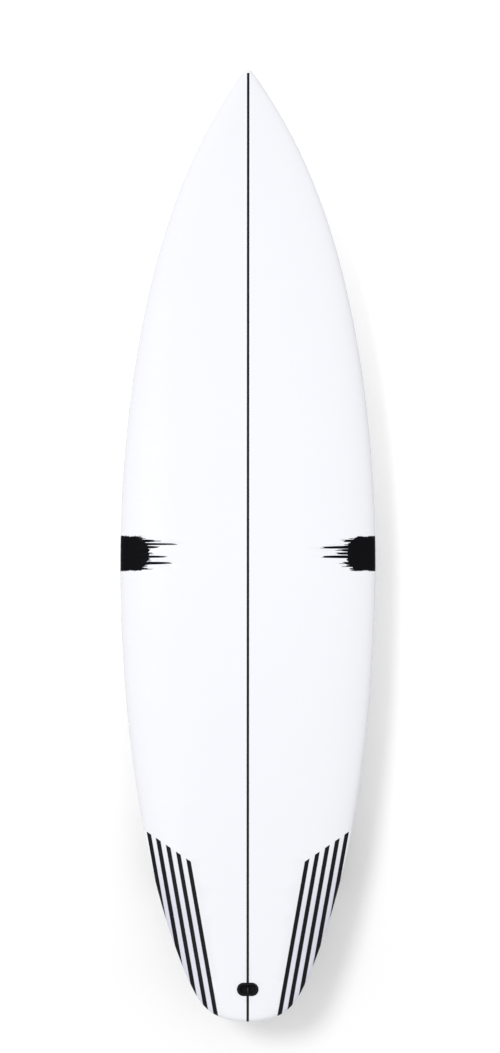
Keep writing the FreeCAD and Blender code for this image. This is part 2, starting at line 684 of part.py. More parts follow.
def blade_point(turn, around, outboard):
    """A point of a fin's blade, in its box's frame.

    turn runs from 0 at the base to pi/2 at the tip, and around from -pi at the rear edge over
    one face to 0 at the front edge, and over the other face back to pi. A side fin is foiled
    on its outboard face and flat on the other, and the centre fin, at 0, is foiled on both.
    """
    height = math.sin(turn)
    rounding = math.copysign(math.sqrt(max(1 - height ** size.fin_tip_fullness, 0)), math.cos(turn))
    half = size.fin_base / 2 * (1 - size.fin_taper * height) * rounding
    lean = size.fin_depth * math.tan(math.radians(size.fin_sweep)) * height * (1 + 2 * height) / 3
    chord = abs(math.sin(around / 2)) ** 2
    foil = chord * (1 - chord) ** 1.5 / FOIL_PEAK
    side = 1 if math.sin(around) >= 0 else -1
    fullness = (1 + side * outboard) / 2
    thick = side * fullness * (size.fin_thickness - 2 * size.fin_edge) * foil
    thin = size.fin_edge * math.sin(around)
    sideways = (thick + thin) * (1 - size.fin_taper * height) * rounding
    flat_side = -outboard * (size.tab_thickness / 2 - size.fin_edge)
    rise = size.fin_base_gap + (size.fin_depth - size.fin_base_gap) * height
    return Vector(half * math.cos(around) - lean, sideways + flat_side, rise)


def fin_blade(outboard):
    """A fin's blade, closed by a flat face at its base."""
    turns = steps((0, math.pi / 2, BLADE_ROWS))
    arounds = steps((-math.pi, math.pi, 2 * BLADE_COLUMNS))
    surface = smooth_surface(
        lambda turn, around: blade_point(turn, around, outboard), turns, arounds)
    blade = patch(surface, 0, len(arounds) - 1)
    rows, columns = all_rows(blade), all_columns(blade)
    fix_poles(blade, rows[:1], columns, z=size.fin_base_gap)
    tip = blade.getPole(rows[-1], 1)
    fix_poles(blade, rows[-1:], columns, x=tip.x, y=tip.y, z=tip.z)
    for row in rows:
        blade.setPole(row, columns[-1], blade.getPole(row, columns[0]))
    base = blade.uIso(blade.bounds()[0]).toShape()
    return closed_solid([blade.toShape(), Part.Face(Part.Wire([base]))])


def fin(name, seat, outboard):
    """A one-piece fin: the blade on its two tabs."""
    members = [feature(name + "_blade", fin_blade(outboard))]
    for place, along in TAB_PLACES.items():
        tab = new_body(f"{name}_tab_{place}")
        sketch = new_sketch(tab, height="sizes.fin_base_gap")
        sketch.setExpression("AttachmentOffset.Base.x", f"{along} * sizes.tab_spacing / 2")
        draw_pill(sketch, "sizes.tab_length", "sizes.tab_thickness")
        pad(tab, sketch, "sizes.tab_depth + sizes.fin_base_gap")
        members.append(tab)
    whole = group("Part::MultiFuse", name, members)
    whole.Placement = seat
    return whole


def fin_seats(board):
    """Where each fin's box stands, and which way its tip leans."""
    seats = {}
    rear_y = size.side_fin_back - board.half_length
    rear_x = board.face + board.half_width(rear_y) - size.side_fin_inset
    turn = math.radians(size.side_fin_toe)
    for name, side in SIDES.items():
        x = side * (rear_x - size.fin_base / 2 * math.sin(turn))
        y = rear_y + size.fin_base / 2 * math.cos(turn)
        seats[name] = board.seat(x, y, turn=-side * size.side_fin_toe, lean=side * size.side_fin_cant)
    seats["centre"] = board.seat(0, size.centre_fin_back - board.half_length + size.fin_base / 2)
    return seats


def fin_tip_lift():
    """How far the fins reach below a board whose bottom is at 0."""
    board = Board(size, 0)
    lowest = 0
    for name, seat in fin_seats(board).items():
        blade = fin_blade(SIDES.get(name, 0))
        blade.Placement = seat
        lowest = min(lowest, blade.optimalBoundingBox(False).ZMin)
    return -lowest


# ---------------------------------------------------------------- blank, skin and strips

def strip_step(board, place, square):
    """How far out in plan the next strip lies, a pitch away over the curve of the deck."""
    near, far = 0, size.strip_pitch
    while far - near > STRIP_TOLERANCE:
        step = (near + far) / 2
        beside = place + square * step
        drop = (board.ground(beside.x, beside.y, True) - board.ground(place.x, place.y, True)).z
        if math.hypot(step, drop) < size.strip_pitch:
            near = step
        else:
            far = step
    return near


def strip_lines(board):
    """The middle of each right-hand strip's front end, and the strips' direction."""
    toe = math.radians(size.strip_toe)
    ahead = Vector(math.sin(toe), math.cos(toe), 0)
    square = Vector(math.cos(toe), -math.sin(toe), 0)
    start = Vector(size.strip_start_inset, size.strip_start_back - board.half_length, 0)
    starts = []
    place = start
    for _ in range(int(size.strip_count)):
        offset = (place - start).dot(square)
        cut = offset * math.tan(math.radians(size.strip_cut_angle + size.strip_toe))
        starts.append(place + ahead * cut)
        place = place + square * strip_step(board, place, square)
    return starts, ahead, square


def strip_exit(board, start, ahead):
    """How far along the board a strip's middle runs off over the rail."""
    inside, outside = start.y, -board.half_length
    while inside - outside > STRIP_TOLERANCE:
        y = (inside + outside) / 2
        x = start.x + (y - start.y) * ahead.x / ahead.y
        if x < board.face + board.half_width(y):
            inside = y
        else:
            outside = y
    return inside


def strip_prism(board, start, ahead, square, outermost):
    """Everything over one strip, from its front end to past the tail.

    Its underside lies a little above the rail's edge where the strip runs off, and the outermost
    strip reaches out past the rail, so that no side of it only grazes the laminate.
    """
    slant = math.tan(math.radians(size.strip_cut_angle + size.strip_toe))
    inner, outer = -size.strip_width / 2, size.strip_width / 2
    if outermost:
        outer += size.strip_pitch
    fronts = [start + square * offset + ahead * (offset * slant) for offset in (inner, outer)]
    corners = fronts + [corner - ahead * board.half_length for corner in reversed(fronts)]
    off_y = strip_exit(board, start, ahead)
    ahead_of_it, behind_it = off_y + SLOPE_SPAN / 2, off_y - SLOPE_SPAN / 2
    slope = (board.rail_height(ahead_of_it) - board.rail_height(behind_it)) / SLOPE_SPAN
    for corner in corners:
        corner.z = board.rail_height(off_y) + slope * (corner.y - off_y) + size.strip_rise
    outline = Part.makePolygon(corners + corners[:1])
    return Part.Face(outline).extrude(Vector(0, 0, 2 * size.board_thickness))


def build_board(board, pockets):
    """The foam halves, the stringer, the two laminates and the carbon strips."""
    lap, last = DECK_STEPS + LAP_STEPS, len(board.columns) - 1
    rough_deck = feature("rough_deck", board.skin(GLASS, INSIDE, 0, lap))
    rough_bottom = feature("rough_bottom", board.skin(GLASS, INSIDE, lap, last))
    starts, ahead, square = strip_lines(board)
    strips, prisms = [], []
    for name, side in SIDES.items():
        for number, start in enumerate(starts, start=1):
            shape = strip_prism(board, start, ahead, square, number == len(starts))
            shape = shape if side > 0 else mirrored(shape)
            prism = feature(f"strip_prism_{name}_{number}", shape)
            label = f"carbon_strip_{name}_{number}"
            strips.append(boolean("Part::Common", label, rough_deck, prism))
            prisms.append(prism)
    tools = group("Part::Compound", "deck_tools", pockets + prisms)
    routed = group("Part::Compound", "pocket_tools", pockets)
    deck = boolean("Part::Cut", "deck_lamination", rough_deck, tools)
    bottom = boolean("Part::Cut", "bottom_lamination", rough_bottom, routed)
    half = board.half_solid(FOAM)
    foam = [boolean("Part::Cut", f"foam_blank_{name}",
                    feature(f"rough_foam_{name}", half if side > 0 else mirrored(half)), routed)
            for name, side in SIDES.items()]
    side_view = feature("stringer_side_view", board.profile(FOAM))
    plank = doc.addObject("Part::Extrusion", "rough_stringer")
    plank.Base = side_view
    plank.DirMode = "Custom"
    plank.Dir = Vector(-1, 0, 0)
    plank.setExpression("LengthFwd", "sizes.stringer_width")
    plank.Solid = True
    stringer = boolean("Part::Cut", "stringer", plank, routed)
    return foam + [stringer, deck, bottom] + strips


def build_fins(board, seats, envelope):
    """The boxes, their grub screws and the fins."""
    made = []
    for name, seat in seats.items():
        outboard = SIDES.get(name, 0)
        screw_side = -outboard or 1
        made.append(fin_box(f"fin_box_{name}", seat, screw_side, envelope))
        made.append(fin(f"fin_{name}", seat, outboard))
        for place in TAB_PLACES:
            made.append(grub_screw(f"grub_screw_{name}_{place}", seat * screw_seat(place, screw_side)))
    return made


def check_and_write(parts):
    """Stops on anything that failed, and otherwise writes each sub-part's STEP file."""
    for item in doc.Objects:
        if "Invalid" in item.State or "Error" in item.State:
            raise RuntimeError(f"{item.Label} failed: {item.State}")
    os.makedirs("parts", exist_ok=True)
    for item in parts:
        shape = item.Shape
        if shape.isNull() or not shape.isValid() or not shape.Solids:
            raise RuntimeError(f"{item.Label} is not a valid solid")
        shape.exportStep(f"parts/{item.Label}.step")


doc = FreeCAD.newDocument("surfboard")
sheet = make_sheet(doc)
size = read_sizes(sheet)
board = Board(size, fin_tip_lift())
seats = fin_seats(board)
plug_seat = board.seat(0, size.plug_back - board.half_length, deck=True)
plug_seat = plug_seat * Placement(Vector(0, 0, 0), Rotation(Vector(0, 0, 1), 90))
envelope = feature("board_envelope", board.whole_solid(GLASS))
pockets = [fin_box_pocket(f"fin_box_pocket_{name}", seat) for name, seat in seats.items()]
pockets.append(leash_plug_pocket(plug_seat))
parts = build_board(board, pockets)
parts += [leash_plug_cup(plug_seat), leash_plug_pin(plug_seat)]
parts += build_fins(board, seats, envelope)
doc.recompute()
check_and_write(parts)
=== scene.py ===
import json
import math

import bmesh
import bpy
from mathutils import Matrix, Vector


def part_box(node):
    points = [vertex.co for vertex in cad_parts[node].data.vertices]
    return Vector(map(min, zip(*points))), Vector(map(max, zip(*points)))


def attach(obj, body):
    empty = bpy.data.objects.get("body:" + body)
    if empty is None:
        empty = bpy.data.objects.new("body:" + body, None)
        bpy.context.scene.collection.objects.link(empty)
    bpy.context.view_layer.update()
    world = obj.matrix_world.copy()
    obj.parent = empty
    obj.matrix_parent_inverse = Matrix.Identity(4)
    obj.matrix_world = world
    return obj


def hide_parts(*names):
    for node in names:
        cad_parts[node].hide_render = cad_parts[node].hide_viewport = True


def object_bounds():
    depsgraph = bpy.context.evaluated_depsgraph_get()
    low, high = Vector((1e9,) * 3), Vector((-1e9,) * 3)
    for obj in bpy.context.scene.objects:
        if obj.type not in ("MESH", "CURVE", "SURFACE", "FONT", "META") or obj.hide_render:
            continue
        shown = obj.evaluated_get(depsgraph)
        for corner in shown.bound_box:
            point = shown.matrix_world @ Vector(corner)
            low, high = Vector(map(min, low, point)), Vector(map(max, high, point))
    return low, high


# Finishes a six-foot three-fin shortboard: the glassed skin with its stringer line, the carbon
# tail strips, brushed paint on the rails, the leash plug, and the fins in their boxes.

bl_info = {
    "name": "Surfboard finish",
    "version": (1, 0, 0),
    "blender": (4, 5, 0),
    "location": "View3D > Sidebar > Surfboard",
    "description": "Finishes a shortboard: glass, carbon strips, rail paint, plug and fins",
    "category": "Object",
}

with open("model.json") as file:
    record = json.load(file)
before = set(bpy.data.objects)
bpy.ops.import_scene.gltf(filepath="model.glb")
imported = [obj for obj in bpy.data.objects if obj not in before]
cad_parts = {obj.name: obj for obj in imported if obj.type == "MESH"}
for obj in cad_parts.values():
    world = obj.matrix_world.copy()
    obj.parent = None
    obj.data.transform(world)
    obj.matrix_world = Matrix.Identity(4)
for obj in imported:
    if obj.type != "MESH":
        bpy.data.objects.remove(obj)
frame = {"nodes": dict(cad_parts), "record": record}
CAD_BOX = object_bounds()
RECORD = frame["record"]

MM = 0.001
WELD = 1e-7  # metres between vertices that are one
CREASE = 30  # degrees at an edge that stays crisp
SIDES = {"left": -1, "right": 1}
STRIPS = sorted(name for name in frame["nodes"] if name.startswith("carbon_strip"))
SCREWS = sorted(name for name in frame["nodes"] if name.startswith("grub_screw"))
FINS = sorted(name for name in frame["nodes"] if name.startswith("fin_") and "box" not in name)
BOXES = sorted(name for name in frame["nodes"] if name.startswith("fin_box"))


# ---------------------------------------------------------------- settings

def metres(name, description, default):
    """A property in metres, from 0 up."""
    return bpy.props.FloatProperty(name=name, description=description, default=default,
                                   subtype="DISTANCE", unit="LENGTH", min=0)


def offset(name, description, default):
    """A property in metres, on either side of 0."""
    return bpy.props.FloatProperty(name=name, description=description, default=default,
                                   subtype="DISTANCE", unit="LENGTH")


def degrees(name, description, default):
    """An angle property, given in degrees."""
    return bpy.props.FloatProperty(name=name, description=description,
                                   default=math.radians(default), subtype="ANGLE")


def amount(name, description, default):
    """A property without a unit, from 0 up."""
    return bpy.props.FloatProperty(name=name, description=description, default=default, min=0)


def fraction(name, description, default):
    """A property from 0 to 1."""
    return bpy.props.FloatProperty(name=name, description=description, default=default,
                                   subtype="FACTOR", min=0, max=1)


def whole_number(name, description, default, least):
    """A whole number property."""
    return bpy.props.IntProperty(name=name, description=description, default=default, min=least)


def colour(name, description, default):
    """A linear colour property."""
    return bpy.props.FloatVectorProperty(name=name, description=description, default=default,
                                         subtype="COLOR", size=3, min=0, max=1)


class GlassSettings(bpy.types.PropertyGroup):
    """The glassed skin."""
    deck_colour: colour("Deck colour", "White of the foam through the glass", (0.905, 0.91, 0.955))
    bottom_colour: colour("Bottom colour", "The same under the board", (0.89, 0.895, 0.935))
    shade: fraction("Unevenness", "How much the white varies from place to place", 0.012)
    weave_pitch: metres("Weave pitch", "Distance between the glass cloth's yarns", 0.9 * MM)
    weave_depth: metres("Weave depth", "Relief of the cloth under the resin", 0.004 * MM)
    roughness: fraction("Roughness", "Roughness of the sanded resin", 0.2)
    line_colour: colour("Stringer line", "The stringer through the glass", (0.013, 0.012, 0.018))
    seam: metres("Seam", "Dark glue beside the stringer, through the glass", 0.45 * MM)
    # Painted shade: the white darkens towards the tail.
    tail_shade: fraction("Tail shade", "How much greyer the white is at the tail", 0.06)
    # Painted shade: the white darkens where the deck turns down to the rails.
    rail_shade: fraction("Rail shade", "How much greyer it is where the deck turns down", 0.04)
    bare_tip: metres("Bare tip", "White over the stringer at the nose", 6 * MM)
    crease: degrees("Crease angle", "Edges sharper than this stay crisp", CREASE)


class CarbonSettings(bpy.types.PropertyGroup):
    """The tail strips."""
    colour: colour("Colour", "Carbon under clear resin", (0.005, 0.005, 0.0072))
    tow_pitch: metres("Tow pitch", "Width of one woven tow", 1.6 * MM)
    roughness: fraction("Roughness", "Roughness of the resin over the carbon", 0.2)
    toe: degrees("Toe", "How far the strips close in to the tail", 10.1)
    cloth_colour: colour("Cloth colour", "The cloth between the strips", (0.715, 0.72, 0.835))
    inner_share: fraction("Inner share", "How much of that shows beside the innermost strip", 0.6)
    cloth_fade: metres("Cloth fade", "From the front ends to where it shows in full", 110 * MM)
    fringe: metres("Fringe", "Loose dark fibres beside a strip", 0.6 * MM)


class RailPaintSettings(bpy.types.PropertyGroup):
    """The brushed patch of paint on each rail."""
    colour: colour("Colour", "Black paint", (0.0035, 0.0035, 0.0048))
    from_nose: metres("From the nose", "Nose tip to the patch's middle", 0.928)
    patch_length: metres("Length", "Along the rail", 67 * MM)
    solid_reach: metres("Solid reach", "How far the full paint comes in from the rail", 54 * MM)
    streak_reach: metres("Streak reach", "How much further the longest streak comes in", 68 * MM)
    streaks: whole_number("Streaks", "Brush streaks across the patch", 11, 1)
    edge_wander: metres("Edge wander", "How far the two ends of the patch wander", 7 * MM)
    rows: whole_number("Rows", "Steps along the streaked edge", 400, 20)
    columns: whole_number("Columns", "Steps from the rail to the streaks", 160, 2)
    under_share: fraction("Under the rail", "Reach there as a share of that on the deck", 0.42)
    seed: whole_number("Seed", "Picks another set of streaks", 4, 0)


class PlugSettings(bpy.types.PropertyGroup):
    """The leash plug."""
    colour: colour("Colour", "Moulded plastic", (0.0085, 0.0085, 0.0105))
    # Painted shade: the stainless bar is coloured dark for the shade it stands in deep in the cup.
    bar_colour: colour("Bar colour", "Darkened steel of the bar", (0.06, 0.06, 0.065))
    flange: metres("Flange", "Thickness of the flange", 2.6 * MM)
    lip: metres("Lip", "Width of the flange round the cup", 2.5 * MM)
    wall: metres("Wall", "Thickness of the cup's wall", 2.6 * MM)
    depth: metres("Depth", "From the flange's top to the cup's underside", 15 * MM)
    floor: metres("Floor", "Thickness of the cup's bottom", 2.4 * MM)
    rounding: metres("Rounding", "Radius of the flange's outer edge", 0.7 * MM)
    lip_rounding: metres("Lip rounding", "Radius of the edge into the cup", 0.9 * MM)
    roughness: fraction("Roughness", "Roughness of the moulding", 0.42)


class FinSettings(bpy.types.PropertyGroup):
    """Fins, boxes and grub screws."""
    fin_colour: colour("Fin colour", "Glass and resin of the fins", (0.018, 0.019, 0.023))
    box_colour: colour("Box colour", "Moulded plastic of the fin boxes", (0.03, 0.03, 0.033))
    screw_colour: colour("Screw colour", "Stainless steel of the screws", (0.55, 0.55, 0.56))
    weave_pitch: metres("Weave pitch", "Width of a yarn in the fins", 1.4 * MM)


class StageSettings(bpy.types.PropertyGroup):
    """Floor, light and camera."""
    sky: amount("Sky", "Strength of the light all round", 0.78)
    sun: amount("Sun", "Strength of the light that casts the shadow", 0.98)
    sun_lean: degrees("Sun lean", "From straight overhead", 27)
    sun_bearing: degrees("Sun bearing", "Clockwise from the nose", -58)
    sun_size: degrees("Sun size", "Softness of the shadow's edge", 17)
    floor_glow: amount("Floor glow", "Light that the floor adds for the camera", 0.25)
    floor_rise: amount("Floor rise", "More of that, per metre towards the nose", 0.22)
    least_glow: amount("Least glow", "What the floor adds towards the tail", 0.07)
    most_glow: amount("Most glow", "What it adds beyond the nose", 0.5)
    floor_radius: metres("Floor radius", "Half the width of the floor", 90.0)
    lens: amount("Lens", "Focal length in millimetres", 360)
    view_height: metres("View height", "What the camera takes in at the deck, lengthwise", 2.019)
    centre_x: offset("Centre X", "Middle of the view", 3.9 * MM)
    centre_y: offset("Centre Y", "Middle of the view", 38.5 * MM)
    roll: degrees("Roll", "Turn of the camera about its own axis", 0.03)


SETTINGS = {"surf_glass": GlassSettings, "surf_carbon": CarbonSettings,
            "surf_paint": RailPaintSettings, "surf_plug": PlugSettings,
            "surf_fins": FinSettings, "surf_stage": StageSettings}


# ---------------------------------------------------------------- node trees

class Value:
    """A socket in a node tree that Python's operators work on, by adding Math nodes."""

    def __init__(self, tree, socket):
        self.tree = tree
        self.socket = socket

    def math(self, operation, *others):
        """A Math node fed by this value and the others."""
        return self.tree.node("ShaderNodeMath", {"operation": operation}, self, *others)

    def __add__(self, other):
        return self.math("ADD", other)

    def __sub__(self, other):
        return self.math("SUBTRACT", other)

    def __mul__(self, other):
        return self.math("MULTIPLY", other)

    def __pow__(self, power):
        return self.math("POWER", power)

    def __gt__(self, other):
        return self.math("GREATER_THAN", other)

    def __rsub__(self, other):
        return self * -1 + other

    __radd__ = __add__
    __rmul__ = __mul__

    def size(self):
        """The value without its sign."""
        return self.math("ABSOLUTE")

    def sine(self):
        """Its sine, in radians."""
        return self.math("SINE")

    def whole(self):
        """The whole number below it."""
        return self.math("FLOOR")

    def sign(self):
        """1, 0 or -1."""
        return self.math("SIGN")

    def at_least(self, other):
        """The larger of the two."""
        return self.math("MAXIMUM", other)

    def at_most(self, other):
        """The smaller of the two."""
        return self.math("MINIMUM", other)

    def limited(self):
        """The value kept from 0 to 1."""
        return self.at_most(1.0).at_least(0.0)

    def height(self):
        """A wave from -1 to 1 as a height from 0 to 1."""
        return self * 0.5 + 0.5


class Tree:
    """A node tree, with one method for any node."""

    def __init__(self, tree):
        self.tree = tree
        tree.nodes.clear()

    def node(self, kind, settings=(), *by_place, output=0, **by_name):
        """Makes a node, its settings first and then its sockets, and gives one of its outputs."""
        made = self.tree.nodes.new(kind)
        for key, setting in dict(settings).items():
            setattr(made, key, setting)
        for place, given in enumerate(by_place):
            self.feed(made.inputs[place], given)
        for key, given in by_name.items():
            self.feed(made.inputs[key.replace("_", " ")], given)
        return Value(self, made.outputs[output]) if made.outputs else None

    def feed(self, socket, given):
        """Links a value to a socket, or sets the socket."""
        if isinstance(given, Value):
            self.tree.links.new(given.socket, socket)
        elif hasattr(given, "__len__"):
            length = len(socket.default_value)
            socket.default_value = (tuple(given) + (1.0,))[:length]
        else:
            socket.default_value = given

    def split(self, vector):
        """X, Y and Z of a vector."""
        made = self.node("ShaderNodeSeparateXYZ", (), vector).socket.node
        return [Value(self, socket) for socket in made.outputs]


class Finish(Tree):
    """A material's tree."""

    def __init__(self, name):
        self.material = bpy.data.materials.new(name)
        self.material.use_nodes = True
        super().__init__(self.material.node_tree)

    def place(self, turn=0.0, scale=(1, 1, 1)):
        """Where a point is on the object, turned about Z and scaled."""
        return self.node("ShaderNodeMapping", {"vector_type": "POINT"},
                         self.node("ShaderNodeTexCoord", output="Object"),
                         Rotation=(0, 0, turn), Scale=scale)

    def noise(self, size, detail=2.0, stretch=(1, 1, 1)):
        """Smooth noise about 0, its features of a size in metres, longer where stretched."""
        place = self.place(scale=tuple(1 / (size * long) for long in stretch))
        return self.node("ShaderNodeTexNoise", (), place, Scale=1.0, Detail=detail) - 0.5

    def weave(self, pitch, axes):
        """Plain cloth: its yarns' crossings rise and fall from -1 to 1 along two axes."""
        one, other = axes
        step = math.pi / pitch
        return (one * step).sine() * (other * step).sine()

    def tinted(self, base, factor):
        """A colour times a number."""
        return self.node("ShaderNodeVectorMath", {"operation": "SCALE"}, base, Scale=factor)

    def mixed(self, share, one, other):
        """One colour or the other, by a share."""
        return self.node("ShaderNodeMix", {"data_type": "RGBA"}, output=2, Factor=share,
                         A=one, B=other)

    def beside(self, gap, width):
        """1 next to a line and 0 further than one and a half widths from it."""
        return 1 - (gap * (1 / width) - 0.5).limited()

    def bump(self, height, depth):
        """A normal from a height between 0 and 1 that stands for a depth in metres."""
        return self.node("ShaderNodeBump", (), Height=height, Distance=depth)

    def surface(self, **sockets):
        """The shader and the output."""
        shader = self.node("ShaderNodeBsdfPrincipled", (), **sockets)
        self.node("ShaderNodeOutputMaterial", (), shader)
        return self.material


class Shape(Tree):
    """A Geometry Nodes tree with named inputs, which ends as a plain mesh."""

    def __init__(self, name, **given):
        super().__init__(bpy.data.node_groups.new(name, "GeometryNodeTree"))
        kinds = {float: "NodeSocketFloat", int: "NodeSocketInt"}
        self.given = {}
        for key, value in given.items():
            kind = kinds.get(type(value), "NodeSocketMaterial")
            socket = self.tree.interface.new_socket(key, in_out="INPUT", socket_type=kind)
            self.given[socket.identifier] = value
        self.tree.interface.new_socket("Geometry", in_out="OUTPUT",
                                       socket_type="NodeSocketGeometry")
        entry = self.tree.nodes.new("NodeGroupInput")
        self.use = {key: Value(self, entry.outputs[key]) for key in given}

    def mesh(self, geometry, material):
        """Ends the tree, sets its inputs and gives what it makes."""
        real = self.node("GeometryNodeRealizeInstances", (), geometry)
        coated = self.node("GeometryNodeSetMaterial", (), real, Material=material)
        self.node("NodeGroupOutput", (), coated)
        holder = new_object(self.tree.name, bpy.data.meshes.new(self.tree.name))
        modifier = holder.modifiers.new(self.tree.name, "NODES")
        modifier.node_group = self.tree
        for identifier, value in self.given.items():
            modifier[identifier] = value
        return settled(holder)


# ---------------------------------------------------------------- materials

UPRIGHT = 1.0  # tilt of a surface that looks sideways
RAIL_TILT = 0.2  # tilt from which the rail's shade is full
CLOTH_EDGE = 1 * MM  # over which the cloth between the strips sets in
FINE_CLOUDS = 0.35  # unevenness of the white close to, as a share of that at large
YARN_SHADE = 0.004  # how much the glass cloth's yarns vary the white
SEAM_DARK = 0.96  # how much of the white the seam and the fringes hide
UNDER_GLASS = 0.12  # specular level of the stringer and the carbon under the glass
FOAM_CELLS = 2200.0  # to the metre


def stringer_half():
    """Half the stringer's thickness."""
    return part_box("stringer")[1].x


def short_of_tip(along, glass):
    """1 but for the bare tip of the nose."""
    return 1 - (along > CAD_BOX[1].y - glass.bare_tip)


def strip_lines(toe):
    """Where the right-hand strips lie: their middles and half a width, measured square to them,
    and the line of their front ends, as its place on the centre line and its slope."""
    edges, fronts = [], []
    for node in STRIPS:
        if "right" in node:
            places = [vertex.co for vertex in copy_of(node).vertices]
            squares = [place.x * math.cos(toe) - place.y * math.sin(toe) for place in places]
            edges.append((min(squares), max(squares)))
            fronts.append(max(places, key=lambda place: place.y).copy())
    half = (edges[0][1] - edges[0][0]) / 2
    slope = (fronts[1].y - fronts[0].y) / (fronts[1].x - fronts[0].x)
    return [edge[0] + half for edge in edges], half, fronts[0].y - slope * fronts[0].x, slope


def strip_cloth(finish, across, along, upper, white, carbon):
    """The white, greyer in the cloth between the strips, and how far their fringes darken it."""
    lines, half, ahead, slope = strip_lines(carbon.toe)
    outward = across.size()
    square = outward * math.cos(carbon.toe) - along * math.sin(carbon.toe)
    behind = ahead + outward * slope - along
    depth = (square - lines[0]) * ((1 - carbon.inner_share) / (lines[-1] - lines[0]))
    shown = ((square - lines[0]) * (1 / CLOTH_EDGE)).limited() * (depth + carbon.inner_share)
    shown = shown * (behind * (1 / carbon.cloth_fade)).limited() * upper
    # Past the outermost strip's middle, this adds a metre to the gap: no fringe shows there.
    gap = lines[-1] - square + (square > lines[-1])
    for line in lines[:-1]:
        gap = gap.at_most((square - line).size())
    loose = finish.noise(0.9 * MM, detail=3, stretch=(1, 9, 1)) * carbon.fringe
    fringe = finish.beside(gap - half + loose, carbon.fringe) * (behind > 0) * upper
    return finish.mixed(shown, white, carbon.cloth_colour), fringe


def white_glass(name, white, glass, carbon=None):
    """White foam under clear glass: nearly even, with the cloth just showing.

    Where the carbon is given, the white greys round the strips. A mesh without tilts counts as
    looking up all over.
    """
    finish = Finish(name)
    across, along, _ = finish.split(finish.place())
    cloud = finish.noise(160 * MM, detail=3) + finish.noise(11 * MM) * FINE_CLOUDS
    weave = finish.weave(glass.weave_pitch, (across, along))
    rubbed = finish.noise(50 * MM, detail=5, stretch=(1, 2.5, 1))
    tilt = finish.node("ShaderNodeAttribute", {"attribute_name": "tilt"}, output=2)
    dark = finish.beside(across.size() - stringer_half(), glass.seam) * short_of_tip(along, glass)
    if carbon:
        white, fringe = strip_cloth(finish, across, along, 1 - (tilt > UPRIGHT), white, carbon)
        dark = dark.at_least(fringe)
    # Painted shade: the white is darker towards the tail.
    tail = (along * (1 / CAD_BOX[0].y)).at_least(0.0) * glass.tail_shade
    # Painted shade: the white is darker where the deck tilts down towards the rails.
    rail = (tilt * (1 / RAIL_TILT)).at_most(1.0) * glass.rail_shade
    lit = cloud * glass.shade + weave * YARN_SHADE + 1 - tail - rail
    lit = lit * (1 - dark * SEAM_DARK)
    return finish.surface(Base_Color=finish.tinted(white, lit),
                          Roughness=rubbed * 0.12 + glass.roughness,
                          Coat_Weight=0.35, Coat_Roughness=0.12,
                          Normal=finish.bump(weave.height(), glass.weave_depth))


def stringer_line(name, white, glass):
    """The stringer's dark edge seen through the glass, with the grain along it."""
    finish = Finish(name)
    grain = finish.noise(1.2 * MM, detail=4, stretch=(1, 30, 1))
    across, along, _ = finish.split(finish.place())
    weave = finish.weave(glass.weave_pitch, (across, along))
    line = finish.tinted(glass.line_colour, grain * 0.8 + 1)
    return finish.surface(Base_Color=finish.mixed(short_of_tip(along, glass), white, line),
                          Roughness=finish.noise(30 * MM) * 0.1 + glass.roughness,
                          Specular_IOR_Level=UNDER_GLASS,
                          Normal=finish.bump(weave.height(), glass.weave_depth))


def carbon_under_glass(name, carbon, side, white):
    """Twill carbon tape under clear resin, its tows along and across the strip.

    Outside the outermost tape, its solid is white.
    """
    finish = Finish(name)
    lines, half, _, _ = strip_lines(carbon.toe)
    across, along, _ = finish.split(finish.place(side * carbon.toe))
    bare = across * side > lines[-1] + half
    step = math.pi / carbon.tow_pitch
    ribs = ((across + along) * step).sine()
    tows = (across * step * 2).sine()
    # The weave's pattern, with the tows' sheen painted into the colour as lighter and darker ribs
    # and tows, over an uneven tone of the carbon.
    lit = ribs * 0.3 + tows * 0.12 + finish.noise(20 * MM) * 0.3 + 1
    return finish.surface(Base_Color=finish.mixed(bare, finish.tinted(carbon.colour, lit), white),
                          Roughness=ribs * 0.05 + carbon.roughness,
                          Specular_IOR_Level=UNDER_GLASS,
                          Normal=finish.bump(ribs.height(), 0.006 * MM))


def brushed_paint(paint, glass):
    """Black paint with faint brush lines in from the rail, under the same resin."""
    finish = Finish("rail_paint")
    lines = finish.noise(1.1 * MM, detail=3, stretch=(40, 1, 40))
    return finish.surface(Base_Color=finish.tinted(paint.colour, lines * 0.6 + 1),
                          Roughness=lines * 0.12 + glass.roughness, Specular_IOR_Level=0.04,
                          Normal=finish.bump(lines + 0.5, 0.004 * MM))


def moulded(name, base, roughness, sheen_level):
    """Moulded plastic with a fine sparked grain, rubbed smoother in places."""
    finish = Finish(name)
    grit = finish.noise(0.35 * MM)
    rubbed = finish.noise(6 * MM, detail=4)
    return finish.surface(Base_Color=finish.tinted(base, rubbed * 0.5 + 1),
                          Roughness=rubbed * 0.15 + grit * 0.1 + roughness,
                          Specular_IOR_Level=sheen_level,
                          Normal=finish.bump(grit + 0.5, 0.012 * MM))


def drawn_steel(name, base, stretch):
    """Stainless steel with fine marks, longer where they are stretched."""
    finish = Finish(name)
    marks = finish.noise(0.4 * MM, detail=3, stretch=stretch)
    return finish.surface(Base_Color=finish.tinted(base, marks * 0.2 + 1), Metallic=1.0,
                          Roughness=marks * 0.15 + 0.24,
                          Normal=finish.bump(marks + 0.5, 0.002 * MM))


def fin_composite(fins):
    """Dark glass and resin, sanded fair, with the cloth on the bias just showing."""
    finish = Finish("fin_composite")
    _, along, up = finish.split(finish.place())
    cloth = finish.weave(fins.weave_pitch, (along + up, along - up))
    lit = cloth * 0.22 + finish.noise(30 * MM, detail=3) * 0.25 + 1
    return finish.surface(Base_Color=finish.tinted(fins.fin_colour, lit),
                          Roughness=finish.noise(12 * MM, detail=4) * 0.06 + 0.3,
                          Specular_IOR_Level=0.4, Coat_Weight=0.15, Coat_Roughness=0.15,
                          Normal=finish.bump(cloth.height(), 0.005 * MM))


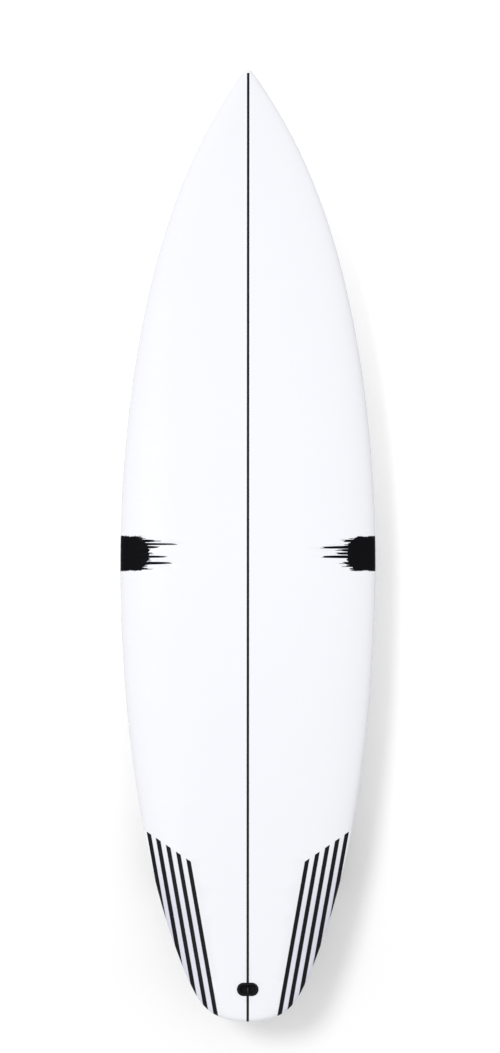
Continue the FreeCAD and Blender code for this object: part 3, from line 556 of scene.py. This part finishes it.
def blank_foam():
    """Shaped polyurethane foam, matte and finely celled."""
    finish = Finish("blank_foam")
    cells = finish.node("ShaderNodeTexVoronoi", {"feature": "F1"}, finish.place(),
                        Scale=FOAM_CELLS)
    return finish.surface(Base_Color=finish.tinted((0.9, 0.89, 0.85), cells * 0.08 + 0.96),
                          Roughness=0.9, Normal=finish.bump(cells, 0.05 * MM))


def stained_wood():
    """The stringer's dark stained wood, grained along the board."""
    finish = Finish("stained_wood")
    grain = finish.noise(1.5 * MM, detail=5, stretch=(1, 40, 1))
    return finish.surface(Base_Color=finish.tinted((0.03, 0.026, 0.026), grain + 1),
                          Roughness=grain * 0.2 + 0.6,
                          Normal=finish.bump(grain + 0.5, 0.05 * MM))


# ---------------------------------------------------------------- meshes and pieces

def new_object(name, data):
    """An object in the scene."""
    made = bpy.data.objects.new(name, data)
    bpy.context.scene.collection.objects.link(made)
    return made


def settled(holder):
    """The mesh that an object's modifiers make. The object goes."""
    bpy.context.view_layer.update()
    graph = bpy.context.evaluated_depsgraph_get()
    made = bpy.data.meshes.new_from_object(holder.evaluated_get(graph), depsgraph=graph)
    bpy.data.objects.remove(holder)
    return made


def shaped(kind, base, tool):
    """A mesh cut by another, or what the two share."""
    holder = new_object("shaped", base)
    cutter = new_object("cutter", tool)
    modifier = holder.modifiers.new(kind, "BOOLEAN")
    modifier.operation = kind
    modifier.solver = "MANIFOLD"
    modifier.object = cutter
    made = settled(holder)
    bpy.data.objects.remove(cutter)
    return made


def mesh_of(solid):
    """A bmesh made into a mesh."""
    made = bpy.data.meshes.new("solid")
    solid.to_mesh(made)
    solid.free()
    return made


def welded(mesh):
    """A copy of a mesh with its triangles joined, without the pairs that lie back to back."""
    solid = bmesh.new()
    solid.from_mesh(mesh)
    bmesh.ops.triangulate(solid, faces=solid.faces)
    bmesh.ops.remove_doubles(solid, verts=solid.verts, dist=WELD)
    pairs = {}
    for face in solid.faces:
        pairs.setdefault(frozenset(face.verts), []).append(face)
    flat = [face for pair in pairs.values() if len(pair) > 1 for face in pair]
    bmesh.ops.delete(solid, geom=flat, context="FACES")
    return mesh_of(solid)


def copy_of(node):
    """A copy of a CAD node's mesh."""
    return welded(frame["nodes"][node].data)


def piece(name, mesh, *materials, crease=math.radians(CREASE)):
    """An object that is smooth but for the edges sharper than its crease angle."""
    mesh.materials.clear()
    for material in materials:
        mesh.materials.append(material)
    mesh.shade_smooth()
    mesh.set_sharp_from_angle(angle=crease)
    return new_object(name, mesh)


def body_of(node):
    """The body that a CAD node is in."""
    bodies = RECORD["behaviour"]["bodies"]
    return next(body for body, nodes in bodies.items() if node in nodes)


def slot_of(node):
    """The material slot of a CAD node."""
    return next(part["material_slot"] for part in RECORD["subparts"] if part["node"] == node)


def seat_with(made, node):
    """Puts a piece in a CAD node's body."""
    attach(made, body_of(node))
    slot_of(node)


def stand_for(made, node):
    """Puts a piece in a CAD node's place."""
    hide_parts(node)
    seat_with(made, node)


def smoothed(node, material):
    """A CAD node's own shape as a smooth piece."""
    stand_for(piece(node + "_smooth", copy_of(node), material), node)


# ---------------------------------------------------------------- glass and rail paint

# The brush marks of the rail paint.
BEND = 0.07  # how far the streaks wander sideways, as a share of the patch's length
LONG_WIDTH = 0.85  # a long streak's width as a share of its step
SHORT_WIDTH = 0.7  # the same of a short one
SHORT_STREAKS = 2.7  # short streaks to a long one
SHORT_REACH = 0.2  # their reach as a share of a long one's
LESS_AT_ENDS = 0.4  # how much less far the full paint comes in at the patch's ends
UNEVEN = 0.2  # how much its reach wanders
BENDS, SWELLS = 9.0, 6.0  # bends of the streaks and swells of the full paint, along the patch
FINE_MARKS, BROAD_MARKS = 450, 60  # marks of the bristles at the patch's ends, to the metre
FINE_SHARE = 1.5  # how much the fine ones count against the broad ones
LAYERS = 4  # of the block's points, one above another
OUTER_LAYERS = 0.3  # height in the block beyond which only its top and bottom layers lie
SIDE_SEED = 40  # between the seeds of the two rails


def mark_stringer(mesh):
    """Gives the faces over the stringer the second material."""
    half = stringer_half() + WELD
    for face in mesh.polygons:
        over = all(abs(mesh.vertices[index].co.x) < half for index in face.vertices)
        face.material_index = int(over)


def mark_tilt(mesh):
    """Gives each point its tilt: 0 where it looks up, 1 on the side and 2 where it looks down."""
    tilt = mesh.attributes.new("tilt", "FLOAT", "POINT")
    tilt.data.foreach_set("value", [1 - vertex.normal.z for vertex in mesh.vertices])


def rail_edge(mesh):
    """The place of the rail's edge at the board's widest point, on the right."""
    return max((vertex.co for vertex in mesh.vertices), key=lambda place: place.x).copy()


def streaks(shape, place, seed, width):
    """Strokes side by side, one to each whole step of a place, each of its own length up to 1.

    A stroke keeps its width, a share of the step, nearly to its end.
    """
    step = place.whole()
    stroke = (1 - (((place - step) * 2 - 1).size() * (1 / width)) ** 4).at_least(0.0)
    chance = shape.node("FunctionNodeRandomValue", {"data_type": "FLOAT"}, output=1)
    sockets = chance.socket.node.inputs
    shape.feed(sockets["ID"], step)
    shape.feed(sockets["Seed"], seed)
    return stroke * chance * chance


def wander(shape, place, seed, scale):
    """Smooth wandering along a place, about 0."""
    spot = shape.node("ShaderNodeCombineXYZ", (), place, seed)
    return shape.node("ShaderNodeTexNoise", (), spot, Scale=scale, Detail=3.0) - 0.5


def paint_cutter(side, edge, paint, seed):
    """A block round one rail, whose inner face runs out in brush streaks."""
    shape = Shape("rail_paint_cutter", side=float(side), seed=seed, streaks=paint.streaks,
                  patch_length=paint.patch_length, solid_reach=paint.solid_reach,
                  streak_reach=paint.streak_reach, edge_wander=paint.edge_wander,
                  under_share=paint.under_share, edge_x=edge.x, edge_z=edge.z,
                  middle_y=CAD_BOX[1].y - paint.from_nose, rows=paint.rows,
                  columns=paint.columns, height=80 * MM, margin=10 * MM, step=0.1 * MM,
                  material=bpy.data.materials.new("cutter"))
    use = shape.use
    block = shape.node("GeometryNodeMeshCube", (), (1, 1, 1), use["columns"], use["rows"],
                       LAYERS)
    across, along, up = shape.split(shape.node("GeometryNodeInputPosition"))
    from_middle = (along * 2).size()
    seed = use["seed"]
    count = use["streaks"]
    # The reach from the rail inwards: long and short streaks on top of the full paint. The long
    # ones die out at the patch's two ends, and all of it comes in less far under the rail.
    spread = along + wander(shape, along, seed + 7, BENDS) * BEND
    long_ones = streaks(shape, (spread + 0.5) * count, seed, LONG_WIDTH)
    long_ones = long_ones * (1 - from_middle ** 4)
    short_ones = streaks(shape, (spread + 0.5) * count * SHORT_STREAKS, seed + 1, SHORT_WIDTH)
    short_ones = short_ones * SHORT_REACH
    full = 1 - from_middle ** 3 * LESS_AT_ENDS + wander(shape, along, seed + 3, SWELLS) * UNEVEN
    reach = use["solid_reach"] * full + use["streak_reach"] * (long_ones + short_ones)
    above = up > 0
    reach = reach * (above * (1 - use["under_share"]) + use["under_share"])
    # Only the inner face moves in by the reach, and only the two end faces get bristle marks. The
    # middle layers stay within a step of the rail's edge, where the reach changes.
    inner = 0.5 - across
    x = use["edge_x"] + use["margin"] * (1 - inner) - reach * inner
    ends = (along * 2) ** 15 * use["edge_wander"]
    fine = wander(shape, x * FINE_MARKS, seed + 5, 1.0) * FINE_SHARE
    bristles = fine + wander(shape, x * BROAD_MARKS, seed + 9, 1.0)
    y = along * use["patch_length"] + ends * bristles
    z = up.sign() * ((up.size() > OUTER_LAYERS) * use["height"] + use["step"])
    place = shape.node("ShaderNodeCombineXYZ", (), x * use["side"], y + use["middle_y"],
                       z + use["edge_z"])
    block = shape.node("GeometryNodeSetPosition", (), block, Position=place)
    if side < 0:
        block = shape.node("GeometryNodeFlipFaces", (), block)
    return shape.mesh(block, use["material"])


def dress_deck(glass, paint, carbon):
    """The deck's glass with its stringer line, and the rail paint let into it."""
    deck = copy_of("deck_lamination")
    edge = rail_edge(deck)
    black = brushed_paint(paint, glass)
    for number, (name, side) in enumerate(SIDES.items()):
        cutter = paint_cutter(side, edge, paint, paint.seed + SIDE_SEED * number)
        patch = shaped("INTERSECT", deck, cutter)
        deck = shaped("DIFFERENCE", deck, cutter)
        made = piece("rail_paint_" + name, welded(patch), black, crease=glass.crease)
        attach(made, body_of("deck_lamination"))
        slot_of(STRIPS[0])
    deck = welded(deck)
    made = piece("glassed_deck", deck,
                 white_glass("white_deck", glass.deck_colour, glass, carbon),
                 stringer_line("deck_stringer", glass.deck_colour, glass), crease=glass.crease)
    mark_stringer(deck)
    mark_tilt(deck)
    stand_for(made, "deck_lamination")


def dress_bottom(glass):
    """The bottom's glass with its stringer line."""
    bottom = copy_of("bottom_lamination")
    made = piece("glassed_bottom", bottom, white_glass("white_bottom", glass.bottom_colour, glass),
                 stringer_line("bottom_stringer", glass.bottom_colour, glass), crease=glass.crease)
    mark_stringer(bottom)
    stand_for(made, "bottom_lamination")


def dress_strips(carbon, glass):
    """The carbon strips, each side's weave turned along its own strips."""
    for name, side in SIDES.items():
        material = carbon_under_glass("carbon_" + name, carbon, side, glass.deck_colour)
        for node in STRIPS:
            if name in node:
                smoothed(node, material)


def dress_blank():
    """The foam and the stringer inside keep their solids."""
    foam = blank_foam()
    for node, material in (("foam_blank_left", foam), ("foam_blank_right", foam),
                           ("stringer", stained_wood())):
        for slot in frame["nodes"][node].material_slots:
            slot.material = material


# ---------------------------------------------------------------- leash plug

def pill(half_straight, radius, height, steps=28):
    """Points round a slot-shaped ring, at a height."""
    ring = []
    for end in (1, -1):
        for step in range(steps + 1):
            angle = math.pi * (step / steps - 0.5) + (0 if end > 0 else math.pi)
            ring.append(Vector((end * half_straight + radius * math.cos(angle),
                                radius * math.sin(angle), height)))
    return ring


def quarter(inset, height, radius, start, end, steps=6):
    """A quarter round about a centre, as insets and heights, between two angles in degrees."""
    angles = [math.radians(start + (end - start) * step / steps) for step in range(steps + 1)]
    return [(inset + radius * math.cos(angle), height + radius * math.sin(angle))
            for angle in angles]


def loft(rings):
    """A closed solid through rings of as many points each, capped at both ends."""
    solid = bmesh.new()
    rows = [[solid.verts.new(point) for point in ring] for ring in rings]
    for row, after in zip(rows, rows[1:]):
        for index in range(len(row)):
            beside = (index + 1) % len(row)
            solid.faces.new((row[index], row[beside], after[beside], after[index]))
    solid.faces.new(rows[0])
    solid.faces.new(rows[-1])
    bmesh.ops.recalc_face_normals(solid, faces=solid.faces)
    return solid


def plug_seat():
    """From the plug's own axes, about the middle of its bar, to the board's."""
    mount = next(mount for mount in RECORD["mounts"] if mount["name"] == "leash_bar")
    out = Vector(mount["axis"])
    across = Vector((1, 0, 0))
    turned = Matrix((across, out.cross(across), out)).transposed().to_4x4()
    return Matrix.Translation(Vector(mount["pos_m"])) @ turned


def plug_cup(plug, seat):
    """A moulded cup: a rounded flange, a rounded lip and a deep slot-shaped cavity."""
    vertices = frame["nodes"]["leash_plug_cup"].data.vertices
    inside = [seat.inverted() @ vertex.co for vertex in vertices]
    half_length, half_width, top = (max(place[axis] for place in inside) for axis in range(3))
    rim = plug.lip + plug.wall
    profile = [(plug.lip + plug.rounding, -plug.depth), (plug.lip, plug.rounding - plug.depth),
               (plug.lip, -plug.flange), (0, -plug.flange)]
    profile += quarter(plug.rounding, -plug.rounding, plug.rounding, 180, 90)
    profile += quarter(rim - plug.lip_rounding, -plug.lip_rounding, plug.lip_rounding, 90, 0)
    profile += quarter(rim + plug.rounding, plug.floor + plug.rounding - plug.depth,
                       plug.rounding, 180, 270)
    solid = loft([pill(half_length - half_width, half_width - inset, top + height)
                  for inset, height in profile])
    solid.transform(seat)
    return mesh_of(solid)


def dress_plug(plug):
    """The cup and the bar that the leash is tied to."""
    plastic = moulded("plug_plastic", plug.colour, plug.roughness, sheen_level=0.06)
    stand_for(piece("leash_plug", plug_cup(plug, plug_seat()), plastic), "leash_plug_cup")
    # The bar's dark colour is painted shade of the cup.
    smoothed("leash_plug_pin", drawn_steel("bar_steel", plug.bar_colour, stretch=(1, 30, 1)))


# ---------------------------------------------------------------- fins

def dress_boxes(fins):
    """The fin boxes and their grub screws."""
    plastic = moulded("fin_box_plastic", fins.box_colour, roughness=0.45, sheen_level=0.35)
    steel = drawn_steel("screw_steel", fins.screw_colour, stretch=(1, 1, 1))
    for node in BOXES:
        smoothed(node, plastic)
    for node in SCREWS:
        smoothed(node, steel)


def dress_fins(fins):
    """The three fins."""
    composite = fin_composite(fins)
    for node in FINS:
        smoothed(node, composite)


# ---------------------------------------------------------------- stage

def lit_white(tree, others):
    """White where the camera looks or a reflection shows it, and another shader elsewhere."""
    path = tree.node("ShaderNodeLightPath").socket.node.outputs
    seen = Value(tree, path["Is Camera Ray"])
    for ray in ("Is Glossy Ray", "Is Transmission Ray"):
        seen = seen.at_least(Value(tree, path[ray]))
    return tree.node("ShaderNodeMixShader", (), seen, others,
                     tree.node("ShaderNodeBackground", (), (1, 1, 1), 1.0))


def make_sky(stage):
    """A white surround that lights like an overcast sky, three times as bright overhead."""
    world = bpy.data.worlds.new("studio")
    world.use_nodes = True
    tree = Tree(world.node_tree)
    up = tree.split(tree.node("ShaderNodeTexCoord"))[2].at_least(0.0)
    overcast = (up * 2 + 1) * (3 / 7) * stage.sky  # 7 / 3 is its mean over level ground
    clouds = tree.node("ShaderNodeBackground", (), (1, 1, 1), overcast)
    tree.node("ShaderNodeOutputWorld", (), lit_white(tree, clouds))
    bpy.context.scene.world = world


def make_sun(stage):
    """The soft lamp that casts the shadow."""
    lamp = bpy.data.lights.new("lamp", "SUN")
    lamp.energy = stage.sun
    lamp.angle = stage.sun_size
    made = new_object("lamp", lamp)
    made.rotation_euler = (-stage.sun_lean, 0, -stage.sun_bearing)


def make_floor(stage):
    """A wide pale floor, brighter to the camera by a painted glow that grows towards the nose and
    lightens the shadow there, and clear from below.
    """
    finish = Finish("pale_floor")
    path = finish.node("ShaderNodeLightPath", output="Is Camera Ray")
    specks = finish.noise(400 * MM, detail=3) * 0.01
    paper = finish.node("ShaderNodeBsdfDiffuse", (), finish.tinted((0.9, 0.9, 0.9), specks + 1))
    _, along, _ = finish.split(finish.place())
    # Painted light: the camera's glow rises towards the nose, so the shadow is lighter there.
    level = along * stage.floor_rise + stage.floor_glow
    level = level.at_least(stage.least_glow).at_most(stage.most_glow)
    glow = finish.node("ShaderNodeEmission", (), (1, 1, 1), path * level)
    lit = finish.node("ShaderNodeAddShader", (), paper, glow)
    behind = finish.node("ShaderNodeNewGeometry", output="Backfacing")
    clear = finish.node("ShaderNodeBsdfTransparent", ())
    both = finish.node("ShaderNodeMixShader", (), behind * path, lit, clear)
    finish.node("ShaderNodeOutputMaterial", (), both)
    disc = bmesh.new()
    bmesh.ops.create_circle(disc, cap_ends=True, segments=96, radius=stage.floor_radius)
    floor = piece("floor", mesh_of(disc), finish.material)


def make_camera(stage):
    """A long lens straight above the deck, nose at the top of the picture."""
    camera = bpy.data.cameras.new("camera")
    camera.lens = stage.lens
    distance = stage.view_height * stage.lens / camera.sensor_width
    camera.clip_end = 4 * stage.floor_radius
    made = new_object("camera", camera)
    made.location = (stage.centre_x, stage.centre_y, CAD_BOX[1].z + distance)
    made.rotation_euler = (0, 0, stage.roll)
    bpy.context.scene.camera = made
    bpy.context.scene.view_settings.view_transform = "Standard"


# ---------------------------------------------------------------- operators

class SURF_OT_blank(bpy.types.Operator):
    """Finishes the foam and the stringer inside the board"""
    bl_idname = "surf.blank"
    bl_label = "Blank and stringer"

    def execute(self, context):
        dress_blank()
        return {"FINISHED"}


class SURF_OT_deck(bpy.types.Operator):
    """Glasses the deck over the stringer and brushes the paint on its rails"""
    bl_idname = "surf.deck"
    bl_label = "Deck and rail paint"

    def execute(self, context):
        dress_deck(context.scene.surf_glass, context.scene.surf_paint, context.scene.surf_carbon)
        return {"FINISHED"}


class SURF_OT_bottom(bpy.types.Operator):
    """Glasses the bottom over the stringer"""
    bl_idname = "surf.bottom"
    bl_label = "Bottom"

    def execute(self, context):
        dress_bottom(context.scene.surf_glass)
        return {"FINISHED"}


class SURF_OT_strips(bpy.types.Operator):
    """Finishes the carbon strips at the tail"""
    bl_idname = "surf.strips"
    bl_label = "Carbon strips"

    def execute(self, context):
        dress_strips(context.scene.surf_carbon, context.scene.surf_glass)
        return {"FINISHED"}


class SURF_OT_plug(bpy.types.Operator):
    """Moulds the leash plug and finishes its bar"""
    bl_idname = "surf.plug"
    bl_label = "Leash plug"

    def execute(self, context):
        dress_plug(context.scene.surf_plug)
        return {"FINISHED"}


class SURF_OT_boxes(bpy.types.Operator):
    """Finishes the fin boxes and their grub screws"""
    bl_idname = "surf.boxes"
    bl_label = "Fin boxes and screws"

    def execute(self, context):
        dress_boxes(context.scene.surf_fins)
        return {"FINISHED"}


class SURF_OT_fins(bpy.types.Operator):
    """Finishes the three fins"""
    bl_idname = "surf.fins"
    bl_label = "Fins"

    def execute(self, context):
        dress_fins(context.scene.surf_fins)
        return {"FINISHED"}


class SURF_OT_stage(bpy.types.Operator):
    """Sets up the floor, the light and the camera"""
    bl_idname = "surf.stage"
    bl_label = "Floor, light and camera"

    def execute(self, context):
        stage = context.scene.surf_stage
        make_sky(stage)
        make_sun(stage)
        make_floor(stage)
        make_camera(stage)
        return {"FINISHED"}


STEPS = (SURF_OT_blank, SURF_OT_deck, SURF_OT_bottom, SURF_OT_strips, SURF_OT_plug,
         SURF_OT_boxes, SURF_OT_fins, SURF_OT_stage)


class SURF_PT_finish(bpy.types.Panel):
    """Lists the steps and what each can change"""
    bl_idname = "SURF_PT_finish"
    bl_label = "Surfboard"
    bl_space_type = "VIEW_3D"
    bl_region_type = "UI"
    bl_category = "Surfboard"

    def draw(self, context):
        for step in STEPS:
            self.layout.operator(step.bl_idname)
        for name, group in SETTINGS.items():
            box = self.layout.box()
            box.label(text=group.__doc__)
            for key in group.__annotations__:
                box.prop(getattr(context.scene, name), key)


def register():
    for group in (*SETTINGS.values(), *STEPS, SURF_PT_finish):
        bpy.utils.register_class(group)
    for name, group in SETTINGS.items():
        setattr(bpy.types.Scene, name, bpy.props.PointerProperty(type=group))


def unregister():
    for name in SETTINGS:
        delattr(bpy.types.Scene, name)
    for group in (SURF_PT_finish, *reversed(STEPS), *SETTINGS.values()):
        bpy.utils.unregister_class(group)


def main():
    """Makes every piece, in order."""
    register()
    for step in STEPS:
        group, name = step.bl_idname.split(".")
        getattr(getattr(bpy.ops, group), name)()


if __name__ == "__main__":
    main()
